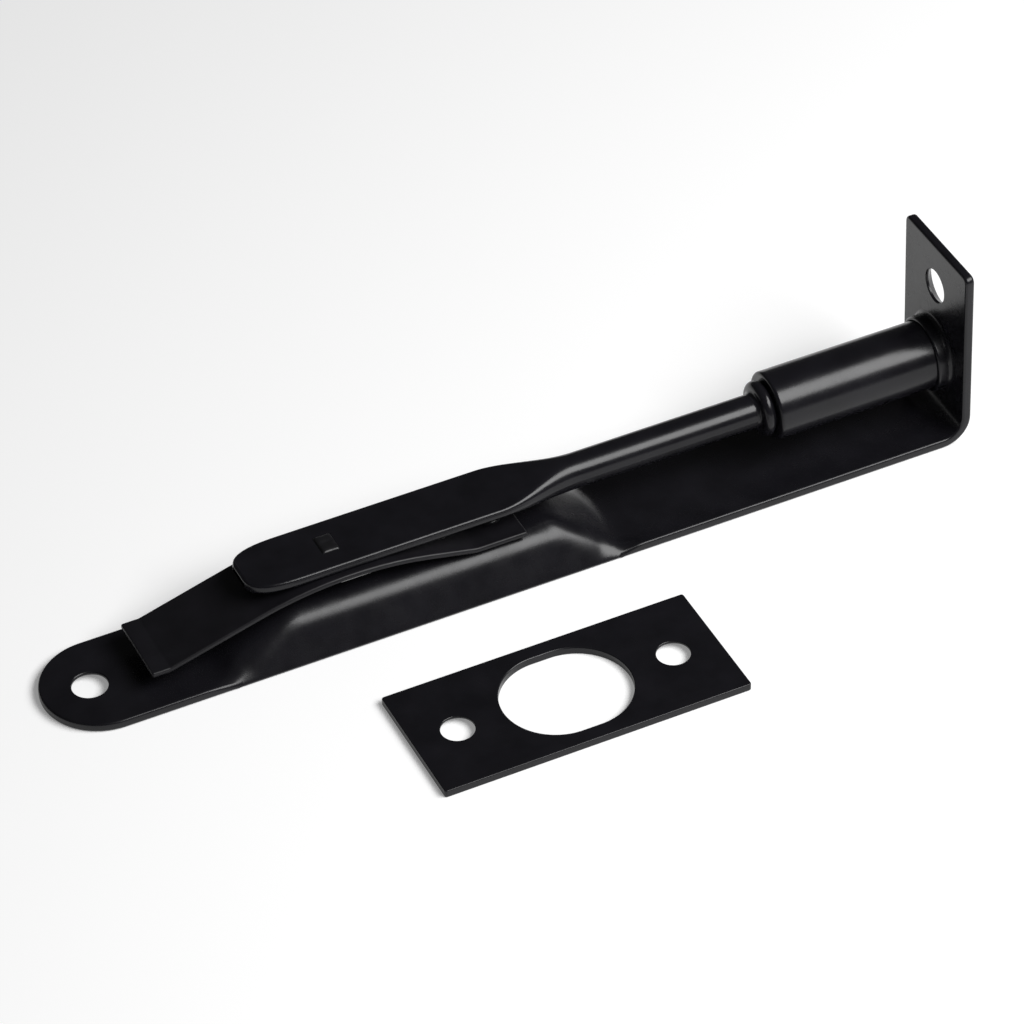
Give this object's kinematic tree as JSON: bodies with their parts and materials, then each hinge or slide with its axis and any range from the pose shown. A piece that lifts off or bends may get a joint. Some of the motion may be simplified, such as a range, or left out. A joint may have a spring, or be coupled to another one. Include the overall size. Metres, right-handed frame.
{
  "type": "toggle bolt latch",
  "caption": "Flush toggle bolt for a door's edge: a round bolt on a flattened rod slides through a bent steel plate's flange, with a leaf spring and a loose strike plate.",
  "frame": {"origin": "middle of the rounded end's screw hole, on the face of the plate that shows when fitted, which is also the plane the part lies on", "axes": "+X from the rounded end towards the flange, the way the bolt is thrown; +Z from the face that shows into the door, the way the flange stands"},
  "size_m": [0.175, 0.0631, 0.0368],
  "materials": {
    "plate_black": "satin black paint on pressed steel",
    "spring_black": "satin black paint on spring steel, slightly more matt",
    "rod_black": "semi-gloss black paint on steel bar"
  },
  "bodies": {
    "frame": {"base_plate": "plate_black", "leaf_spring": "spring_black", "spring_rivet": "plate_black"},
    "bolt_run": {"rod_lever": "rod_black", "toggle_tab": "rod_black", "neck_collar": "rod_black", "bolt": "rod_black"},
    "strike": {"strike_plate": "plate_black"}
  },
  "joints": [
    {"name": "bolt_slide", "type": "slide", "parent": "frame", "child": "bolt_run", "axis": [1, 0, 0], "range_m": [0, 0.019]},
    {"name": "strike_lift", "type": "slide", "parent": "frame", "child": "strike", "axis": [0, 0, 1], "range_m": [0, 0.03]}
  ]
}
